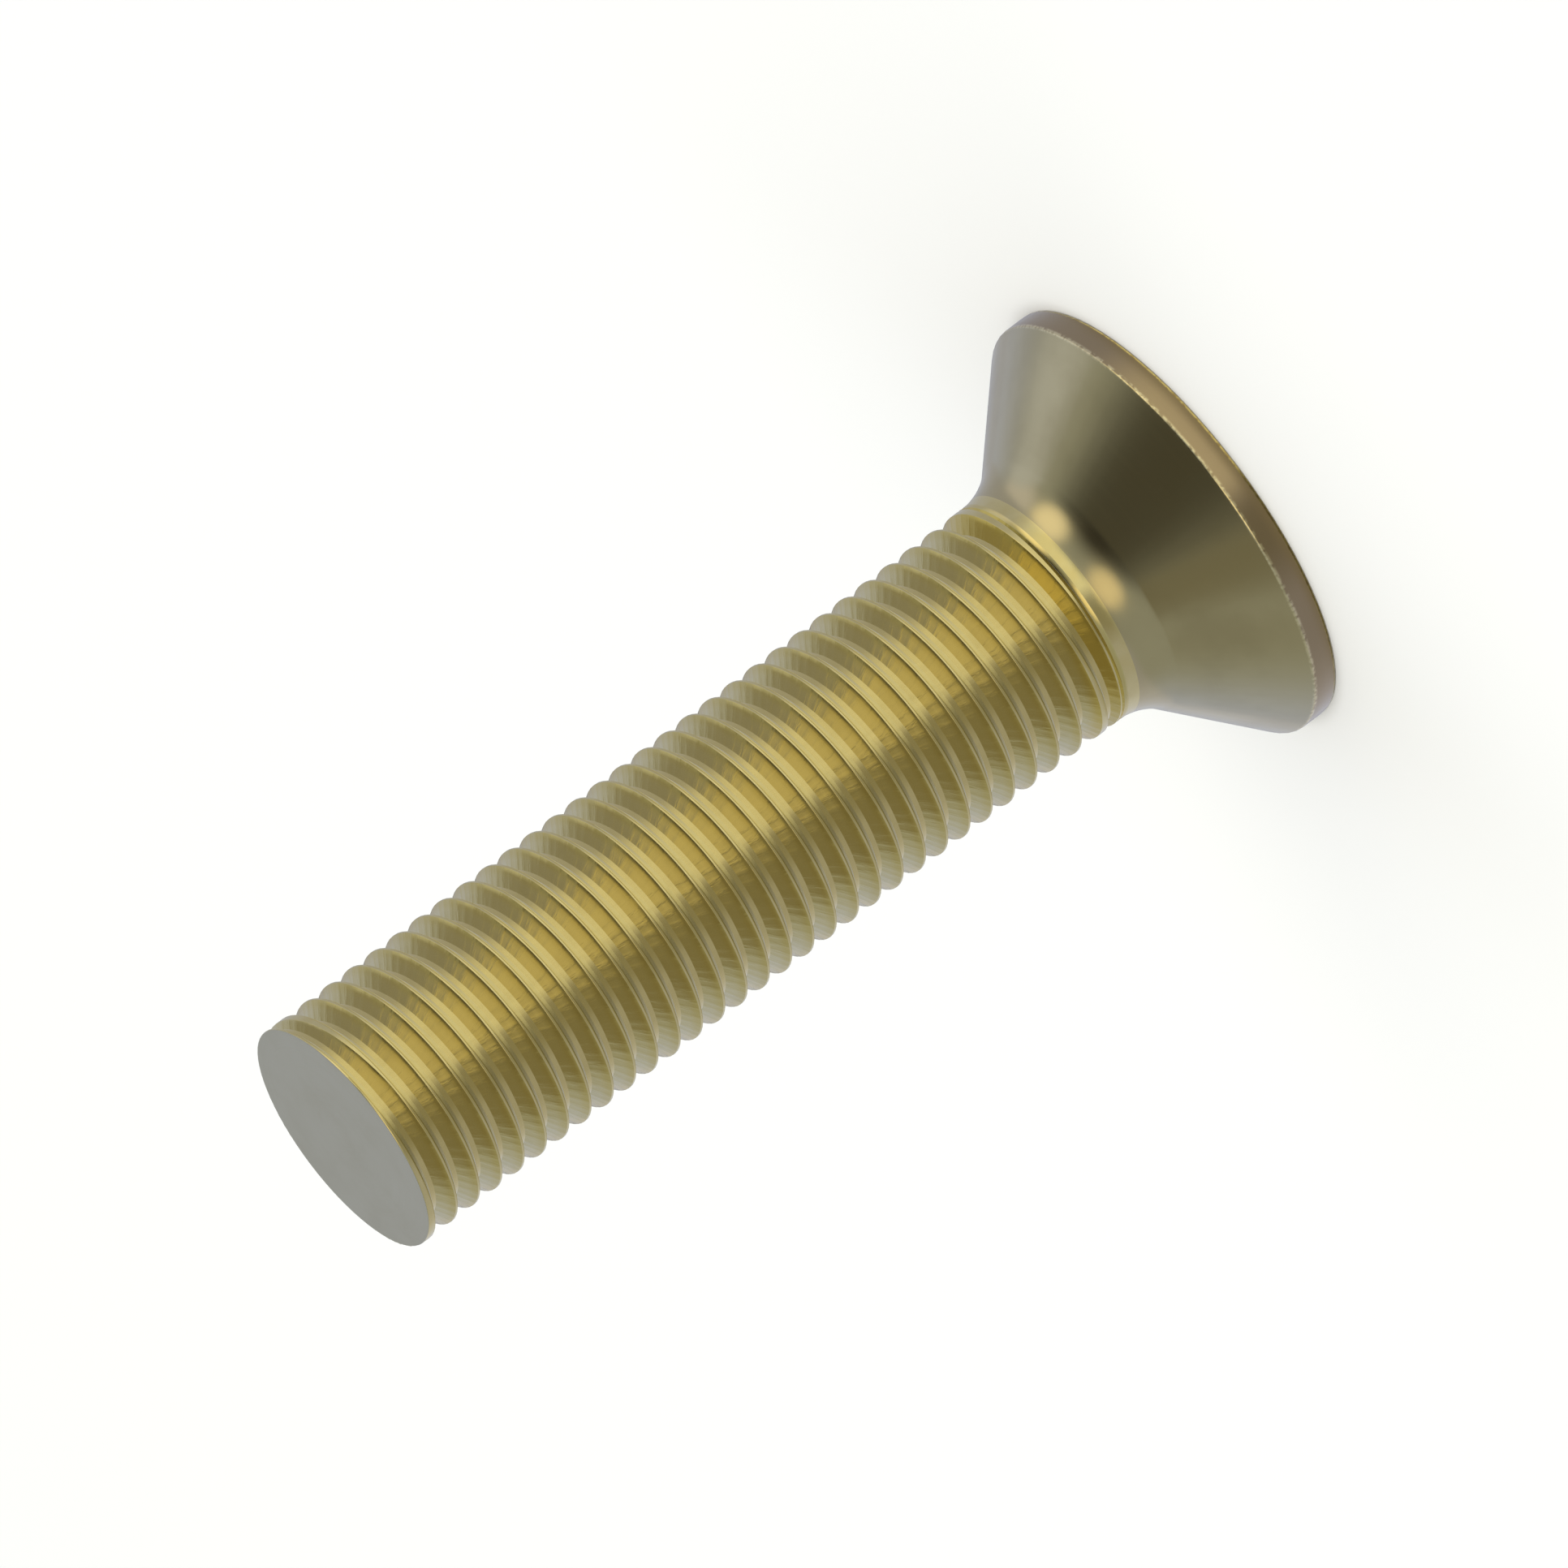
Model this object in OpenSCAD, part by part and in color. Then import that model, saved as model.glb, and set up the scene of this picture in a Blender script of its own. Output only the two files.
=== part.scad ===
// Countersunk machine screw with a cross recess and a full right-hand thread.
// It stands on its head: the top face of the head lies on z = 0 and the flat end points up.

/* [Length] */
// Overall length, from the top face of the head to the flat end
screw_l = 25; // [16:1:40]

/* [Head] */
// Diameter of the head
head_d = 11.3; // [10:0.1:14]
// Height of the straight land around the head
head_land = 0.65; // [0.3:0.05:1.2]
// Included angle of the cone
cone_angle = 90; // [80:1:100]
// Radius of the rounded edges of the land
edge_r = 0.08; // [0.04:0.01:0.12]
// Radius of the fillet between the cone and the neck
fillet_r = 1.6; // [0.4:0.1:2]

/* [Thread] */
// Outside diameter of the thread and of the neck
thread_d = 6; // [5:0.1:7]
// Advance of the thread in one turn
thread_pitch = 0.67; // [0.5:0.01:1]
// Included angle of the groove
groove_angle = 60; // [55:1:65]
// Width of the crest between two turns of the groove
crest_flat = 0.06; // [0.05:0.005:0.12]
// Width of the flat bottom of the groove
root_flat = 0.13; // [0.05:0.01:0.2]
// Length of the plain neck between the fillet and the thread
neck_l = 0.24; // [0.1:0.02:4]
// Land left between the groove and the flat end
end_land = 0.06; // [0.04:0.01:0.5]
// Direction around the axis in which the groove runs out at the flat end
end_direction = 45; // [0:5:355]

/* [Cross recess] */
// Span across two opposite wings at the top face
recess_span = 6.8; // [6:0.1:7.6]
// Depth of the wings
recess_depth = 3; // [2:0.1:3.2]
// Width of a wing at the top face
wing_w = 1.9; // [1.4:0.1:2.2]
// Slope of the wing ends, from the axis
wing_end_slope = 26.5; // [20:0.5:28]
// Slope of the wing sides, from the axis
wing_side_slope = 4; // [1:0.5:6]
// Diameter of the core between the wings at the top face
core_d = 3.7; // [3.3:0.1:4.4]
// Slope of the core wall, from the axis
core_slope = 8; // [4:0.5:12]
// Included angle of the pointed bottom of the core
bottom_angle = 140; // [120:5:160]

/* [Hidden] */
$fn = 96;

brass = [0.71, 0.63, 0.38];

head_r = head_d / 2;
thread_r = thread_d / 2;
half_cone = cone_angle / 2;

// Height at which the cone would meet the thread's outside diameter in a sharp corner
head_h = head_land + (head_r - thread_r) / tan(half_cone);

// Distance from a sharp corner of the outline to where its rounding starts
edge_reach = edge_r * tan(half_cone / 2);
fillet_reach = fillet_r * tan(half_cone / 2);
fillet_end = head_h + fillet_reach;

// The groove is a trapezoid, and its middle runs from groove_start to groove_end
flank = tan(groove_angle / 2);
groove_depth = (thread_pitch - crest_flat - root_flat) / 2 / flank;
groove_start = fillet_end + neck_l + root_flat / 2;
groove_end = screw_l - end_land - root_flat / 2;

// The groove turns in straight steps, short enough to leave at least half of the crest
step_rise = crest_flat / 4 / flank;
steps_per_turn = ceil(180 / acos(thread_r / (thread_r + step_rise)));
groove_rim = step_rise * 1.5;

// How far the recess is carried on past the top face, to cut it cleanly
cut_over = 1;

// Both ends of the groove rise out of the shank at the slope of the flanks
function depth_at(z) = min(groove_depth, (z - groove_start) / flank, (groove_end - z) / flank);

function groove_section(z) =
    let (bottom_r = thread_r - depth_at(z), rim_r = thread_r + groove_rim)
    let (half_bottom = root_flat / 2, half_rim = half_bottom + (rim_r - bottom_r) * flank)
    [[rim_r, z - half_rim], [bottom_r, z - half_bottom],
     [bottom_r, z + half_bottom], [rim_r, z + half_rim]];

function turned(point, angle) = [point[0] * cos(angle), point[0] * sin(angle), point[1]];

// Helical cutter, one four-cornered section after another along the axis
module thread_groove() {
    clear_of_shank = groove_rim / 2 * flank;
    from = groove_start - clear_of_shank;
    to = groove_end + clear_of_shank;
    steps = ceil((to - from) / thread_pitch * steps_per_turn);
    points = [
        for (i = [0 : steps])
        let (z = from + (to - from) * i / steps, angle = end_direction + (z - groove_end) / thread_pitch * 360)
        for (corner = groove_section(z)) turned(corner, angle)
    ];
    walls = [
        for (i = [0 : steps - 1], k = [0 : 3])
        let (a = 4 * i + k, b = 4 * i + (k + 1) % 4)
        for (face = [[a, b + 4, b], [a, a + 4, b + 4]]) face
    ];
    near_end = [[0, 1, 2], [0, 2, 3]];
    far_end = [for (face = near_end) [for (k = [2 : -1 : 0]) 4 * steps + face[k]]];
    polyhedron(points, concat(near_end, walls, far_end));
}

// Half section of the turned blank: straight lines first, then the fillet and the two rounded edges
module blank_section() {
    difference() {
        polygon([
            [0, 0],
            [head_r - edge_r, 0],
            [head_r, edge_r],
            [head_r, head_land - edge_reach],
            [head_r - edge_reach * sin(half_cone), head_land + edge_reach * cos(half_cone)],
            [thread_r + fillet_reach * sin(half_cone), head_h - fillet_reach * cos(half_cone)],
            [thread_r, fillet_end],
            [thread_r, screw_l],
            [0, screw_l]
        ]);
        translate([thread_r + fillet_r, fillet_end]) circle(fillet_r);
    }
    for (z = [edge_r, head_land - edge_reach])
        translate([head_r - edge_r, z]) circle(edge_r);
}

// Cone that is top_r wide at the top face and narrows into the head
module tapered_cut(top_r, depth, slope) {
    translate([0, 0, -cut_over])
        cylinder(r1 = top_r + cut_over * tan(slope), r2 = top_r - depth * tan(slope), h = depth + cut_over);
}

// Pair of opposite wings, wider at the top face than at their bottom
module wing_pair() {
    top = wing_w / 2 + cut_over * tan(wing_side_slope);
    bottom = wing_w / 2 - recess_depth * tan(wing_side_slope);
    rotate([90, 0, 0])
        linear_extrude(2 * recess_span, center = true)
            polygon([[-top, -cut_over], [top, -cut_over], [bottom, recess_depth], [-bottom, recess_depth]]);
}

module cross_recess() {
    core_bottom_r = core_d / 2 - recess_depth * tan(core_slope);
    intersection() {
        tapered_cut(recess_span / 2, recess_depth, wing_end_slope);
        union() for (turn = [0, 90]) rotate(turn) wing_pair();
    }
    tapered_cut(core_d / 2, recess_depth, core_slope);
    translate([0, 0, recess_depth])
        cylinder(r1 = core_bottom_r, r2 = 0, h = core_bottom_r / tan(bottom_angle / 2));
}

module countersunk_screw() {
    color(brass)
        difference() {
            rotate_extrude() blank_section();
            thread_groove();
            cross_recess();
        }
}

countersunk_screw();
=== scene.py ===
import math

import bpy
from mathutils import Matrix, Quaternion, Vector


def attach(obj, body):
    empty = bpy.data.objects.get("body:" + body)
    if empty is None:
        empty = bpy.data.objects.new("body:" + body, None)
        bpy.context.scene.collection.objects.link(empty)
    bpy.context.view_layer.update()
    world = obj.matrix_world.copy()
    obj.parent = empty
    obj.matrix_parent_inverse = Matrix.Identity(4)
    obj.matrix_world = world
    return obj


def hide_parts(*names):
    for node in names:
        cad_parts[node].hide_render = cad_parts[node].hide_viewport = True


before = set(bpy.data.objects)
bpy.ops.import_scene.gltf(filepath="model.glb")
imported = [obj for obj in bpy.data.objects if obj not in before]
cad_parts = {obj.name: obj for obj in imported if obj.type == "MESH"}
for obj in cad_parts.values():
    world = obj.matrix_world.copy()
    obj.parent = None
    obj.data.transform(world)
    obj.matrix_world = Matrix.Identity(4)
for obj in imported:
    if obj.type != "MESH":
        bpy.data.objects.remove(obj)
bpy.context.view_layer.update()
millimetre = 0.001           # in metres
print("frame loaded:", sorted(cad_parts))


class Wire:  # a shader socket that can stand in a sum
    def __init__(self, tree, socket=None):
        self.tree = tree
        self.socket = socket

    def node(self, kind, settings=None, sockets=None, out=0):
        made = self.tree.nodes.new(kind)
        for name, value in (settings or {}).items():
            setattr(made, name, value)
        for name, value in (sockets or {}).items():
            if isinstance(value, Wire):
                self.tree.links.new(value.socket, made.inputs[name])
            else:
                made.inputs[name].default_value = value
        return Wire(self.tree, made.outputs[out])

    def sum(self, operation, first, second):
        return self.node("ShaderNodeMath", {"operation": operation}, {0: first, 1: second})

    def __add__(self, other):
        return self.sum("ADD", self, other)

    def __radd__(self, other):
        return self.sum("ADD", other, self)

    def __sub__(self, other):
        return self.sum("SUBTRACT", self, other)

    def __rsub__(self, other):
        return self.sum("SUBTRACT", other, self)

    def __mul__(self, other):
        return self.sum("MULTIPLY", self, other)

    def __rmul__(self, other):
        return self.sum("MULTIPLY", other, self)

    def __truediv__(self, other):
        return self.sum("DIVIDE", self, other)

    def __rtruediv__(self, other):
        return self.sum("DIVIDE", other, self)

    def __pow__(self, other):
        return self.sum("POWER", self, other)

    def __rpow__(self, other):
        return self.sum("POWER", other, self)


def deselectAll():
    if bpy.context.object and bpy.context.object.mode != "OBJECT":
        bpy.ops.object.mode_set(mode="OBJECT")
    bpy.ops.object.select_all(action="DESELECT")


def editPiece(piece, kind="VERT"):
    deselectAll()
    bpy.context.view_layer.objects.active = piece
    piece.select_set(True)
    bpy.ops.object.mode_set(mode="EDIT")
    bpy.ops.mesh.select_mode(type=kind)
    bpy.ops.mesh.select_all(action="DESELECT")


def selectEdges(piece, wanted):  # wanted looks at the two ends of an edge
    editPiece(piece, "EDGE")
    bpy.ops.object.mode_set(mode="OBJECT")
    points = piece.data.vertices
    for edge in piece.data.edges:
        edge.select = wanted(points[edge.vertices[0]].co, points[edge.vertices[1]].co)
    bpy.ops.object.mode_set(mode="EDIT")


def selectPoints(piece, wanted):  # wanted looks at a point's place
    editPiece(piece)
    bpy.ops.object.mode_set(mode="OBJECT")
    for point in piece.data.vertices:
        point.select = wanted(point.co)
    bpy.ops.object.mode_set(mode="EDIT")


def faceOutwards(piece):
    editPiece(piece)
    bpy.ops.mesh.select_all(action="SELECT")
    bpy.ops.mesh.normals_make_consistent(inside=False)
    bpy.ops.object.mode_set(mode="OBJECT")
    highest = max(piece.data.polygons, key=lambda face: face.center.z)
    if highest.normal.z < 0:
        bpy.ops.object.mode_set(mode="EDIT")
        bpy.ops.mesh.flip_normals()
        bpy.ops.object.mode_set(mode="OBJECT")


def applyModifier(piece, kind, **settings):
    deselectAll()
    bpy.context.view_layer.objects.active = piece
    piece.select_set(True)
    modifier = piece.modifiers.new(kind.title(), kind)
    for name, value in settings.items():
        setattr(modifier, name, value)
    bpy.ops.object.modifier_apply(modifier=modifier.name)


def drawLine(name, points):  # one point, drawn on from place to place
    deselectAll()
    bpy.ops.mesh.primitive_plane_add(size=1)
    line = bpy.context.object
    line.name = name
    bpy.ops.object.mode_set(mode="EDIT")
    bpy.ops.mesh.merge(type="CENTER")
    bpy.ops.transform.translate(value=points[0])
    for last, following in zip(points, points[1:]):
        step = Vector(following) - Vector(last)
        bpy.ops.mesh.extrude_vertices_move(TRANSFORM_OT_translate={"value": step})
    bpy.ops.object.mode_set(mode="OBJECT")
    return line


def roundedCorner(before, corner, after, reach, steps):
    before, corner, after = Vector(before), Vector(corner), Vector(after)
    start = corner + (before - corner).normalized() * reach
    end = corner + (after - corner).normalized() * reach
    return [start * (1 - t) ** 2 + corner * 2 * t * (1 - t) + end * t * t
            for t in (i / steps for i in range(steps + 1))]


# the thread, drawn in millimetres like the rest of the screw and brought to metres at the end
thread = {
    "radius": 3.0,
    "pitch": 0.67,
    "crestFlat": 0.06,
    "rootFlat": 0.13,
    "flank": math.tan(math.radians(30)),
    "start": 4.2678,         # height of the groove's middle where it leaves the neck
    "end": 24.875,           # and where it runs out at the flat end
    "endDirection": 45,
    "crestRound": 0.006,
    "crestSteps": 2,
    "wallCuts": (0.25, 0.5, 0.75),
    "stepsPerTurn": 72,
    "turns": 33,
    "weld": 0.0005,          # joins one turn to the next
    "rim": 0.01,             # crest middles this close to half a pitch stay where they are
    "leastShare": 0.15,      # a groove that has run out keeps this share of its width
}
thread["depth"] = (thread["pitch"] - thread["crestFlat"] - thread["rootFlat"]) / 2 / thread["flank"]


def threadProfile(middle):  # one pitch, from the middle of a crest to the middle of the next
    radius, bottom = thread["radius"], thread["radius"] - thread["depth"]
    halfPitch, halfRoot = thread["pitch"] / 2, thread["rootFlat"] / 2
    crestEdge = halfPitch - thread["crestFlat"] / 2
    root = Vector((bottom, 0, halfRoot))
    crest = roundedCorner((radius, 0, halfPitch), (radius, 0, crestEdge), root,
                          thread["crestRound"], thread["crestSteps"])
    wall = [crest[-1].lerp(root, t) for t in thread["wallCuts"]]
    upper = [Vector((radius, 0, halfPitch))] + crest + wall + [root]
    lower = [Vector((p.x, p.y, -p.z)) for p in upper]
    return [p + Vector((0, 0, middle)) for p in lower + upper[::-1]]


def grooveMiddle(angle):  # height of one turn of the groove at an angle, in degrees
    return thread["end"] + (angle - thread["endDirection"]) / 360 * thread["pitch"]


def runOut(piece):  # both ends of the groove shrink to nothing, with the slope of the flanks kept
    halfRoot, rim = thread["rootFlat"] / 2, thread["pitch"] / 2 - thread["rim"]
    for point in piece.data.vertices:
        across = math.hypot(point.co.x, point.co.y)
        first = grooveMiddle(math.degrees(math.atan2(point.co.y, point.co.x)))
        middle = first + round((point.co.z - first) / thread["pitch"]) * thread["pitch"]
        depth = min(thread["depth"], (middle - thread["start"]) / thread["flank"],
                    (thread["end"] - middle) / thread["flank"])
        share = max(depth, 0) / thread["depth"]
        away = point.co.z - middle
        if share < 1 and abs(away) < rim:
            lifted = thread["radius"] - (thread["radius"] - across) * share
            point.co.x *= lifted / across
            point.co.y *= lifted / across
            if abs(away) > halfRoot:
                drawnIn = halfRoot + (abs(away) - halfRoot) * max(share, thread["leastShare"])
                point.co.z = middle + math.copysign(drawnIn, away)


lowestTurn = grooveMiddle(0) - (thread["turns"] - 1) * thread["pitch"]
screw = drawLine("screw", threadProfile(lowestTurn))
applyModifier(screw, "SCREW", axis="Z", angle=math.radians(360), screw_offset=thread["pitch"],
              iterations=thread["turns"], steps=thread["stepsPerTurn"], render_steps=thread["stepsPerTurn"])
editPiece(screw)
bpy.ops.mesh.select_all(action="SELECT")
bpy.ops.mesh.remove_doubles(threshold=thread["weld"])
bpy.ops.object.mode_set(mode="OBJECT")
runOut(screw)
print("thread turned:", len(screw.data.polygons), "faces")

# the head grows down out of the lowest ring of the shank
head = {
    "radius": 5.644,
    "land": 0.65,
    "corner": 3.3,           # where the cone would meet the shank without the fillet
    "neck": 4.165,           # where the thread is cut off and the turned lines begin
    "length": 25.0,
    "fillet": 1.6,
    "edgeRound": 0.08,
    "endRound": 0.02,
    "relief": [(4.140, 2.955), (4.086, 3.0), (4.062, 2.938), (3.966, 3.0)],   # two fine turned lines
    "filletSteps": 16,
    "landSteps": 3,
    "rimSteps": 5,
    "endSteps": 2,
    "nearCut": 0.01,         # points this close to a cut are welded
    "weld": 0.003,
    "level": 0.02,           # how far the points of a cut edge may lie from its height
    "ring": 1e-4,            # the same, for the rings that are drawn out exactly
    "cutSharp": 1e-5,
    "smooth": 35,            # degrees
}
head["tangent"] = math.tan(math.radians(22.5))   # of half the angle that the outline turns at both corners

cuts = (head["neck"], head["length"])
editPiece(screw)
for cut, side in zip(cuts, ("clear_inner", "clear_outer")):
    bpy.ops.mesh.select_all(action="SELECT")
    bpy.ops.mesh.bisect(plane_co=(0, 0, cut), plane_no=(0, 0, 1), threshold=head["cutSharp"], **{side: True})
selectPoints(screw, lambda place: min(abs(place.z - cut) for cut in cuts) < head["nearCut"])
bpy.ops.mesh.remove_doubles(threshold=head["weld"])        # slivers that the two cuts leave
bpy.ops.object.mode_set(mode="OBJECT")


def ringAt(height):
    return lambda a, b: max(abs(a.z - height), abs(b.z - height)) < head["ring"]


def selectOpenRing(piece, height):  # the open edge left by a cut, made exactly level
    editPiece(piece, "EDGE")
    bpy.ops.mesh.select_non_manifold(extend=False, use_wire=False, use_boundary=True, use_multi_face=False,
                                     use_non_contiguous=False, use_verts=False)
    bpy.ops.object.mode_set(mode="OBJECT")
    points = piece.data.vertices
    for edge in piece.data.edges:
        ends = [points[i].co.z for i in edge.vertices]
        edge.select = edge.select and all(abs(end - height) < head["level"] for end in ends)
    bpy.ops.object.mode_set(mode="EDIT")
    bpy.ops.transform.resize(value=(1, 1, 0), center_override=(0, 0, height))


def pullRing(height, across):  # draws the selected ring on to a new height and width
    bpy.ops.mesh.extrude_edges_move(TRANSFORM_OT_translate={"value": (0, 0, height)})
    bpy.ops.transform.resize(value=(across, across, 1), center_override=(0, 0, 0))


selectOpenRing(screw, head["neck"])
outline = [(head["neck"], thread["radius"])] + head["relief"]
outline += [(head["corner"], thread["radius"]), (head["land"], head["radius"]), (0, head["radius"])]
for (height, radius), (lower, wider) in zip(outline, outline[1:]):
    pullRing(lower - height, wider / radius)
bpy.ops.mesh.edge_face_add()
selectOpenRing(screw, head["length"])
bpy.ops.mesh.edge_face_add()

for height, reach, steps in (
        (head["corner"], head["fillet"] * head["tangent"], head["filletSteps"]),
        (head["land"], head["edgeRound"] * head["tangent"], head["landSteps"]),
        (0, head["edgeRound"], head["rimSteps"]),
        (head["length"], head["endRound"], head["endSteps"])):
    selectEdges(screw, ringAt(height))
    bpy.ops.mesh.bevel(offset=reach, offset_type="OFFSET", segments=steps, profile=0.5, affect="EDGES")
faceOutwards(screw)
print("head drawn out:", len(screw.data.polygons), "faces")

# the cross recess, cut by a punch of two crossed wings and a core
recess = {
    "span": 6.8,
    "depth": 3.0,
    "wing": 1.9,
    "endSlope": 26.5,
    "sideSlope": 4.0,
    "core": 3.7,
    "coreSlope": 8.0,
    "bottomAngle": 140,
    "over": 1.0,             # how far the punch stands out of the top face
    "sides": 96,
    "bottomTilt": 0.9,       # height part of a normal that the core's flat bottom has at least
}


def slopeOf(name):
    return math.tan(math.radians(recess[name]))


def taperedPeg(name, across, slope):
    wide = across / 2 + recess["over"] * slope
    narrow = across / 2 - recess["depth"] * slope
    tall = recess["depth"] + recess["over"]
    deselectAll()
    bpy.ops.mesh.primitive_cone_add(vertices=recess["sides"], radius1=wide, radius2=narrow, depth=tall,
                                    location=(0, 0, tall / 2 - recess["over"]))
    bpy.context.object.name = name
    return bpy.context.object


def wingBar(name, turn):
    tall = recess["depth"] + recess["over"]
    deselectAll()
    bpy.ops.mesh.primitive_cube_add(size=1)
    bar = bpy.context.object
    bar.name = name
    wide = recess["wing"] + 2 * recess["over"] * slopeOf("sideSlope")
    narrow = recess["wing"] - 2 * recess["depth"] * slopeOf("sideSlope")
    bar.scale = (2 * recess["span"], wide, tall)
    bar.location = (0, 0, tall / 2 - recess["over"])
    bpy.ops.object.transform_apply(location=True, rotation=False, scale=True)
    selectPoints(bar, lambda place: place.z > 0)
    bpy.ops.transform.resize(value=(1, narrow / wide, 1), center_override=(0, 0, 0))
    bpy.ops.object.mode_set(mode="OBJECT")
    bar.rotation_euler.z = turn
    bpy.ops.object.transform_apply(location=False, rotation=True, scale=False)
    return bar


def combine(piece, tool, operation, solver="EXACT"):
    applyModifier(piece, "BOOLEAN", object=tool, operation=operation, solver=solver)
    bpy.data.objects.remove(tool)


punch = wingBar("punch", 0)
combine(punch, wingBar("crossWing", math.radians(90)), "UNION")
combine(punch, taperedPeg("wingEnds", recess["span"], slopeOf("endSlope")), "INTERSECT")
core = taperedPeg("core", recess["core"], slopeOf("coreSlope"))
editPiece(core, "FACE")
bpy.ops.object.mode_set(mode="OBJECT")
for face in core.data.polygons:
    face.select = face.normal.z > recess["bottomTilt"]
bpy.ops.object.mode_set(mode="EDIT")
coreBottom = recess["core"] / 2 - recess["depth"] * slopeOf("coreSlope")
point = coreBottom / math.tan(math.radians(recess["bottomAngle"] / 2))
bpy.ops.mesh.extrude_region_move(TRANSFORM_OT_translate={"value": (0, 0, point)})
bpy.ops.mesh.merge(type="CENTER")
bpy.ops.object.mode_set(mode="OBJECT")
combine(punch, core, "UNION")
combine(screw, punch, "DIFFERENCE", "MANIFOLD")
print("recess punched:", len(screw.data.polygons), "faces")

faceOutwards(screw)
editPiece(screw)
bpy.ops.mesh.select_all(action="SELECT")
bpy.ops.transform.resize(value=(millimetre, millimetre, millimetre), center_override=(0, 0, 0))
bpy.ops.object.mode_set(mode="OBJECT")
bpy.ops.object.shade_smooth_by_angle(angle=math.radians(head["smooth"]))
applyModifier(screw, "WEIGHTED_NORMAL", keep_sharp=True)
print("screw brought to metres")


def newFinish(name):
    material = bpy.data.materials.new(name)
    material.use_nodes = True
    return material, Wire(material.node_tree), material.node_tree.nodes["Principled BSDF"]


def feed(shader, name, wire):
    wire.tree.links.new(wire.socket, shader.inputs[name])


def ramped(wire, low, high, start=0.0, end=1.0):  # soft step of a value from low to high
    return wire.node("ShaderNodeMapRange", {"interpolation_type": "SMOOTHSTEP"},
                     {"Value": wire, "From Min": low, "From Max": high, "To Min": start, "To Max": end})


def blended(share, first, second):  # share 0 gives the first colour, 1 the second
    return share.node("ShaderNodeMix", {"data_type": "RGBA"}, {0: share, 6: first, 7: second}, out=2)


def measured(wire):  # place in millimetres, height, distance from the axis, angle around it
    place = wire.node("ShaderNodeTexCoord", out="Object")
    place = wire.node("ShaderNodeVectorMath", {"operation": "SCALE"}, {0: place, "Scale": 1 / millimetre})
    x, y, z = (wire.node("ShaderNodeSeparateXYZ", None, {0: place}, out=i) for i in range(3))
    across = (x * x + y * y) ** 0.5
    angle = wire.node("ShaderNodeMath", {"operation": "ARCTAN2"}, {0: y, 1: x})
    return place, z, across, angle


def grainOf(wire, place, scale, detail=2.0, rough=0.5):
    return wire.node("ShaderNodeTexNoise", None,
                     {"Vector": place, "Scale": scale, "Detail": detail, "Roughness": rough})


def pointAt(wire, x, y, z):
    return wire.node("ShaderNodeCombineXYZ", None, {0: x, 1: y, 2: z})


brassLook = {
    "plain": (0.62, 0.50, 0.21, 1),
    "shadeUnderCrest": (0.60, 0.465, 0.155, 1),     # painted shade on the side of the groove that faces the flat end, close under a crest
    "rich": (0.60, 0.43, 0.085, 1),      # the same side of the first turn, next to the neck
    "worn": (0.68, 0.58, 0.30, 1),       # rubbed crests
    "dull": (0.47, 0.37, 0.14, 1),
    "roughness": 0.20,
    "shadeUnderCrestEdge": (-0.24, -0.42),          # share of a pitch from the groove's middle
    "richEdge": (5.0, 4.75),             # height in millimetres
    "wornEdge": (0.03, 0.004),           # distance below the crest
    "chatter": 52.4,                     # fine marks across that side, in one turn
    "chatterHeight": 0.0032,             # millimetres
    "wander": 3.0,                       # how far the marks stray from an even beat
    "crown": 0.050,                      # millimetres by which that side falls off towards a crest
    "crownEdge": (0.20, 0.71),
    "marks": 0.0012,
    "streaks": (16.0, 1.5),              # along the groove and across it
    "lines": (1.2, 60.0),
    "clouds": 1.1,
}


def makeBrass(name, side):  # side is the flank that faces the flat end
    material, wire, shader = newFinish(name)
    place, z, across, angle = measured(wire)
    turnsUp = (z - thread["end"]) / thread["pitch"]
    phase = turnsUp - (angle - math.radians(thread["endDirection"])) / (2 * math.pi)
    turn = wire.node("ShaderNodeMath", {"operation": "ROUND"}, {0: phase})
    within = phase - turn                                  # -0.5 to 0.5 across one groove
    along = angle + turn * (2 * math.pi)                   # keeps on growing along the groove
    lengthwise, crosswise = brassLook["streaks"]
    streaks = grainOf(wire, pointAt(wire, along * lengthwise, across * crosswise, 0.0), 1.0, 3.0, 0.6)
    lengthwise, crosswise = brassLook["lines"]
    lines = grainOf(wire, pointAt(wire, along * lengthwise, within * crosswise, 0.0), 1.0, 2.0, 0.5)
    clouds = grainOf(wire, place, brassLook["clouds"], 3.0, 0.55)
    marks = (streaks * 0.7 + lines * 0.5) * brassLook["marks"]
    if side:
        # darker close under each crest on this side: painted shade
        colour = blended(ramped(within, *brassLook["shadeUnderCrestEdge"]), brassLook["plain"], brassLook["shadeUnderCrest"])
        colour = blended(ramped(z, *brassLook["richEdge"], 0.0, 0.8), colour, brassLook["rich"])
        chatter = wire.node("ShaderNodeMath", {"operation": "SINE"},
                            {0: along * brassLook["chatter"] + streaks * brassLook["wander"]})
        chatter = ramped(chatter, -1.0, 1.0) * ramped(streaks, 0.25, 0.6)
        away = wire.node("ShaderNodeMath", {"operation": "ABSOLUTE"}, {0: within})
        fallOff = ramped(away, *brassLook["crownEdge"])
        marks = marks + chatter * brassLook["chatterHeight"] - fallOff * brassLook["crown"]
    else:
        crest = ramped(across, *(thread["radius"] - below for below in brassLook["wornEdge"]))
        colour = blended(crest * ramped(clouds, 0.3, 0.6, 0.2, 0.7), brassLook["plain"], brassLook["worn"])
    colour = blended(ramped(clouds, 0.5, 0.85, 0.0, 0.3), colour, brassLook["dull"])
    feed(shader, "Base Color", colour)
    feed(shader, "Roughness", brassLook["roughness"] + (streaks - 0.5) * 0.14 + (clouds - 0.5) * 0.10)
    feed(shader, "Normal", wire.node("ShaderNodeBump", None,
                                     {"Strength": 1.0, "Distance": millimetre, "Height": marks}, out=0))
    shader.inputs["Metallic"].default_value = 1
    return material


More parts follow.
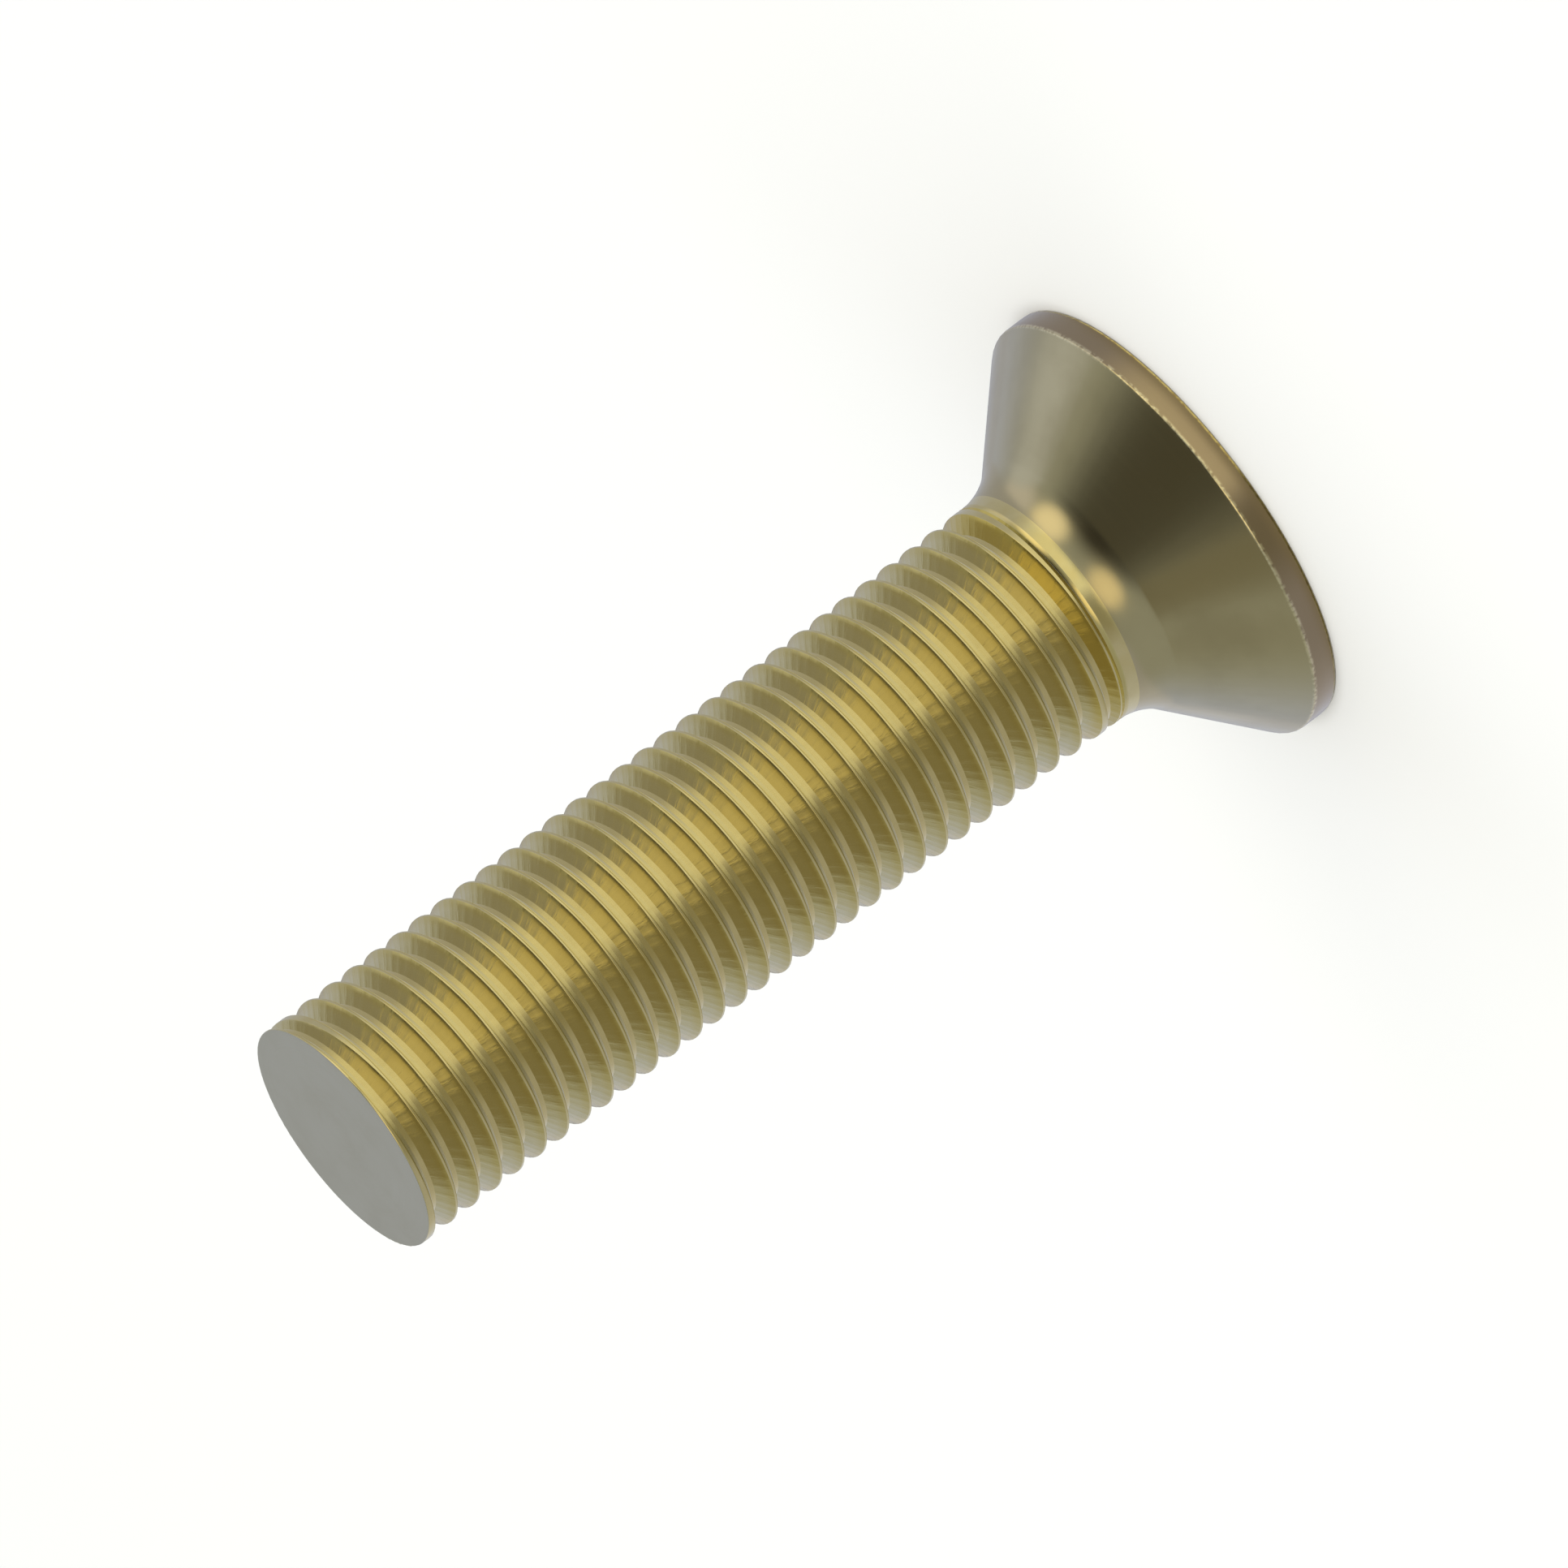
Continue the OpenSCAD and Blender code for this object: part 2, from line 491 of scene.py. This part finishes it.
bronzeLook = {
    "base": (0.50, 0.42, 0.24, 1),
    "dark": (0.40, 0.33, 0.18, 1),
    # painted shade: the land is darker, standing in for the shaded floor it mirrors
    "land": (0.36, 0.27, 0.16, 1),
    "landShadeIn": (0.12, 0.06),              # millimetres in from the outside
    "landShadeDown": 0.04,                    # and down from the cone
    "edge": (0.66, 0.56, 0.34, 1),       # rubbed edges of the land
    "edgeIn": (0.05, 0.01),
    "edgeDown": (0.03, 0.10),            # from either end of the land
    "roughness": 0.20,
    "rings": 0.0003,                     # millimetres
    "ringScale": (18.0, 0.6),            # across the cone and round it
    "clouds": 0.5,
    "grains": 9.0,
}


def makeBronze():
    material, wire, shader = newFinish("headBronze")
    place, z, across, angle = measured(wire)
    crosswise, roundabout = bronzeLook["ringScale"]
    rings = grainOf(wire, pointAt(wire, (across - z) * crosswise, angle * roundabout, 0.0), 1.0, 4.0, 0.65)
    clouds = grainOf(wire, place, bronzeLook["clouds"], 3.0, 0.55)
    grains = grainOf(wire, place, bronzeLook["grains"], 2.0, 0.5)
    edge = ramped(across, *(head["radius"] - inside for inside in bronzeLook["edgeIn"]))
    least, most = bronzeLook["edgeDown"]
    edge = edge * (1 - ramped(z, least, most) * (1 - ramped(z, head["land"] - most, head["land"] - least)))
    colour = blended(ramped(clouds, 0.4, 0.75, 0.0, 0.5), bronzeLook["base"], bronzeLook["dark"])
    # the land's darker tone is painted shade
    land = ramped(across, *(head["radius"] - inside for inside in bronzeLook["landShadeIn"]))
    land = land * ramped(z, head["land"], head["land"] - bronzeLook["landShadeDown"])
    colour = blended(land, colour, bronzeLook["land"])
    colour = blended(edge * ramped(grains, 0.35, 0.6), colour, bronzeLook["edge"])
    feed(shader, "Base Color", colour)
    feed(shader, "Roughness", bronzeLook["roughness"] + (clouds - 0.5) * 0.10 + (rings - 0.5) * 0.08)
    feed(shader, "Normal", wire.node("ShaderNodeBump", None,
                                     {"Strength": 1.0, "Distance": bronzeLook["rings"] * millimetre,
                                      "Height": rings + grains * 0.3}, out=0))
    shader.inputs["Metallic"].default_value = 1
    return material


cutLook = {
    "base": (0.53, 0.475, 0.325, 1),
    "dark": (0.515, 0.46, 0.312, 1),
    "roughness": 0.36,
    "rings": 0.0006,                     # millimetres
    "ringScale": (22.0, 0.5),            # across the end and round it
    "clouds": 0.9,
}


def makeCutEnd():
    material, wire, shader = newFinish("cutEnd")
    place, _, across, angle = measured(wire)
    crosswise, roundabout = cutLook["ringScale"]
    rings = grainOf(wire, pointAt(wire, across * crosswise, angle * roundabout, 0.0), 1.0, 3.0, 0.6)
    clouds = grainOf(wire, place, cutLook["clouds"], 3.0, 0.55)
    feed(shader, "Base Color", blended(ramped(clouds, 0.4, 0.7), cutLook["base"], cutLook["dark"]))
    feed(shader, "Roughness", cutLook["roughness"] + (clouds - 0.5) * 0.06 + (rings - 0.5) * 0.08)
    feed(shader, "Normal", wire.node("ShaderNodeBump", None,
                                     {"Strength": 1.0, "Distance": cutLook["rings"] * millimetre,
                                      "Height": rings}, out=0))
    shader.inputs["Metallic"].default_value = 1
    return material


def finishFaces(piece, finishes):  # the last finish whose test a face passes
    piece.data.materials.clear()
    for slot, (material, wanted) in enumerate(finishes):
        piece.data.materials.append(material)
        for face in piece.data.polygons:
            if wanted(face):
                face.material_index = slot


finishAt = {
    "sideTilt": 0.6,         # height part of a face's normal
    "endTilt": 0.9,
    "bronzeTop": 3.64,       # the head's tone ends in the fillet
    "endBottom": 24.99,
}
finishFaces(screw, [
    (makeBrass("threadBrass", False), lambda face: True),
    (makeBrass("threadSide", True), lambda face: face.normal.z > finishAt["sideTilt"]),
    (makeBronze(), lambda face: face.center.z < finishAt["bronzeTop"] * millimetre),
    (makeCutEnd(), lambda face: face.center.z > finishAt["endBottom"] * millimetre
     and face.normal.z > finishAt["endTilt"]),
])
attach(screw, "root")
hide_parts("countersunk_screw")
screw.visible_glossy = False                               # no turn of the thread is mirrored in the next
print("screw finished:", [m.name for m in screw.data.materials])

# pale floor, soft light and the photo's view
studio = {
    "floor": 1.0,            # metres
    "paint": 0.88,
    "paintRoughness": 0.9,
    "wash": 2.6,             # watts
    "washSize": 0.6,
    "washHeight": 0.5,
    "frameWidth": 0.03571,
    "aim": (0.00042, 0.003455, 0.01025),
    "away": 0.2,
    "elevation": 18.63,      # degrees
    "roll": -126.9,
    "clip": (0.01, 5),
}
deselectAll()
bpy.ops.mesh.primitive_plane_add(size=studio["floor"])
floor = bpy.context.object
floor.name = "floor"
paint, _, shader = newFinish("floorPaint")
shader.inputs["Base Color"].default_value = (studio["paint"], studio["paint"], studio["paint"], 1)
shader.inputs["Roughness"].default_value = studio["paintRoughness"]
shader.inputs["Specular IOR Level"].default_value = 0
floor.data.materials.append(paint)
floor.visible_glossy = False                               # the metal mirrors the room, by direction

bpy.ops.object.light_add(type="AREA", location=(0, 0, studio["washHeight"]))
wash = bpy.context.object
wash.name = "floorWash"
wash.data.size = studio["washSize"]
wash.data.energy = studio["wash"]
wash.visible_glossy = False                                # lights the floor, isn't mirrored in the metal

room = {
    "grey": (0.46, 0.50, 0.50, 1),
    "back": (0.58, 0.65, 0.86, 1),                         # cool light low behind the screw
    "backRight": (0.58, 0.66, 0.87, 1),
    "backEdges": ((0.22, 0.88), (0.72, 0.25)),             # away from the camera, and up
    "backRightEdge": (0.1, -0.45),
    "patches": [                                           # direction, colour, soft edge in degrees
        ((0.25, -0.42, 0.872), (0.088, 0.090, 0.080, 1), (44, 12)),
        ((0.27, -0.581, 0.768), (0.045, 0.043, 0.038, 1), (17, 5)),
        ((0.06, 0.22, 0.97), (0.76, 0.69, 0.39, 1), (27, 6)),
        ((-0.39, 0.37, 0.84), (0.285, 0.27, 0.18, 1), (26, 7)),
        ((0.42, 0.52, 0.74), (0.34, 0.345, 0.33, 1), (24, 5)),
        ((0.97, 0.20, 0.10), (0.84, 0.86, 0.96, 1), (27, 9)),
        ((-0.25, -0.90, 0.345), (1.35, 1.22, 0.85, 1), (24, 7)),
        ((0.827, -0.4855, 0.26), (1.45, 1.36, 1.05, 1), (25, 7)),
        ((0.80, 0.40, 0.45), (0.74, 0.82, 1.00, 1), (20, 8)),
        ((-0.36, -0.06, 0.93), (0.24, 0.225, 0.15, 1), (18, 1)),
    ],
    "low": (0.52, 0.55, 0.64, 1),                          # just below the horizon
    "lowRight": (0.70, 0.74, 0.86, 1),
    "lowRightEdges": ((0.75, 0.93), (1.0, 0.95)),          # turns round the screw, 0.5 towards the camera
    "panel": (1.06, 1.06, 0.89, 1),                        # soft light low at the front left
    "panelEdges": ((0.24, 0.37), (0.56, 0.505)),
    "flag": (0.34, 0.34, 0.285, 1),                        # and a dark board low at the front right
    "flagEdges": ((0.50, 0.56), (0.70, 0.60)),
    "lowTop": (0.12, 0.02),
    "below": (0.86, 0.80, 0.42, 1),                        # under the screw, and to its right
    "belowTop": (-0.36, -0.44),
    "belowRight": (0.19, 0.175, 0.085, 1),
    "belowRightEdge": (0.012, -0.036),
    "belowOut": (0.44, 0.43, 0.33, 1),                     # further out, behind the screw
    "belowOutEdge": (-0.64, -0.50),
}


def aroundOf(wire, x, y):  # 0.5 towards the camera, more to its right
    around = wire.node("ShaderNodeMath", {"operation": "ARCTAN2"}, {0: x * -1.0, 1: y * -1.0})
    return around / (2 * math.pi) + 0.5


def makeRoom():
    world = bpy.data.worlds.new("softRoom")
    bpy.context.scene.world = world
    world.use_nodes = True
    wire = Wire(world.node_tree)
    look = wire.node("ShaderNodeTexCoord", out="Generated")
    x, y, z = (wire.node("ShaderNodeSeparateXYZ", None, {0: look}, out=i) for i in range(3))

    def near(direction, reach):  # 1 at the direction, 0 past its soft edge
        cosine = wire.node("ShaderNodeVectorMath", {"operation": "DOT_PRODUCT"},
                           {0: look, 1: Vector(direction).normalized()}, out="Value")
        return ramped(cosine, math.cos(math.radians(reach[0])), math.cos(math.radians(reach[1])))

    behind = blended(ramped(x, *room["backRightEdge"]), room["back"], room["backRight"])
    away, up = room["backEdges"]
    colour = blended(ramped(y, *away) * ramped(z, *up), room["grey"], behind)
    for direction, tint, reach in room["patches"]:
        colour = blended(near(direction, reach), colour, tint)
    around = aroundOf(wire, x, y)
    low = room["low"]
    for name in ("lowRight", "panel", "flag"):
        rise, fall = room[name + "Edges"]
        low = blended(ramped(around, *rise) * ramped(around, *fall), low, room[name])
    below = blended(ramped(x, *room["belowRightEdge"]), room["below"], room["belowRight"])
    below = blended(ramped(z, *room["belowOutEdge"]), below, room["belowOut"])
    low = blended(ramped(z, *room["belowTop"]), low, below)
    feed(world.node_tree.nodes["Background"], "Color", blended(ramped(z, *room["lowTop"]), colour, low))


makeRoom()
print("studio set up")

rise = math.radians(studio["elevation"])
back = Vector((0, -math.cos(rise), math.sin(rise)))
bpy.ops.object.camera_add(location=Vector(studio["aim"]) + back * studio["away"])
camera = bpy.context.object
camera.rotation_mode = "QUATERNION"
rolled = Quaternion((0, 0, 1), math.radians(studio["roll"]))
camera.rotation_quaternion = back.to_track_quat("Z", "Y") @ rolled
camera.data.type = "ORTHO"
camera.data.ortho_scale = studio["frameWidth"]
camera.data.clip_start, camera.data.clip_end = studio["clip"]
bpy.context.scene.camera = camera
bpy.context.scene.view_settings.view_transform = "Standard"
print("camera set")
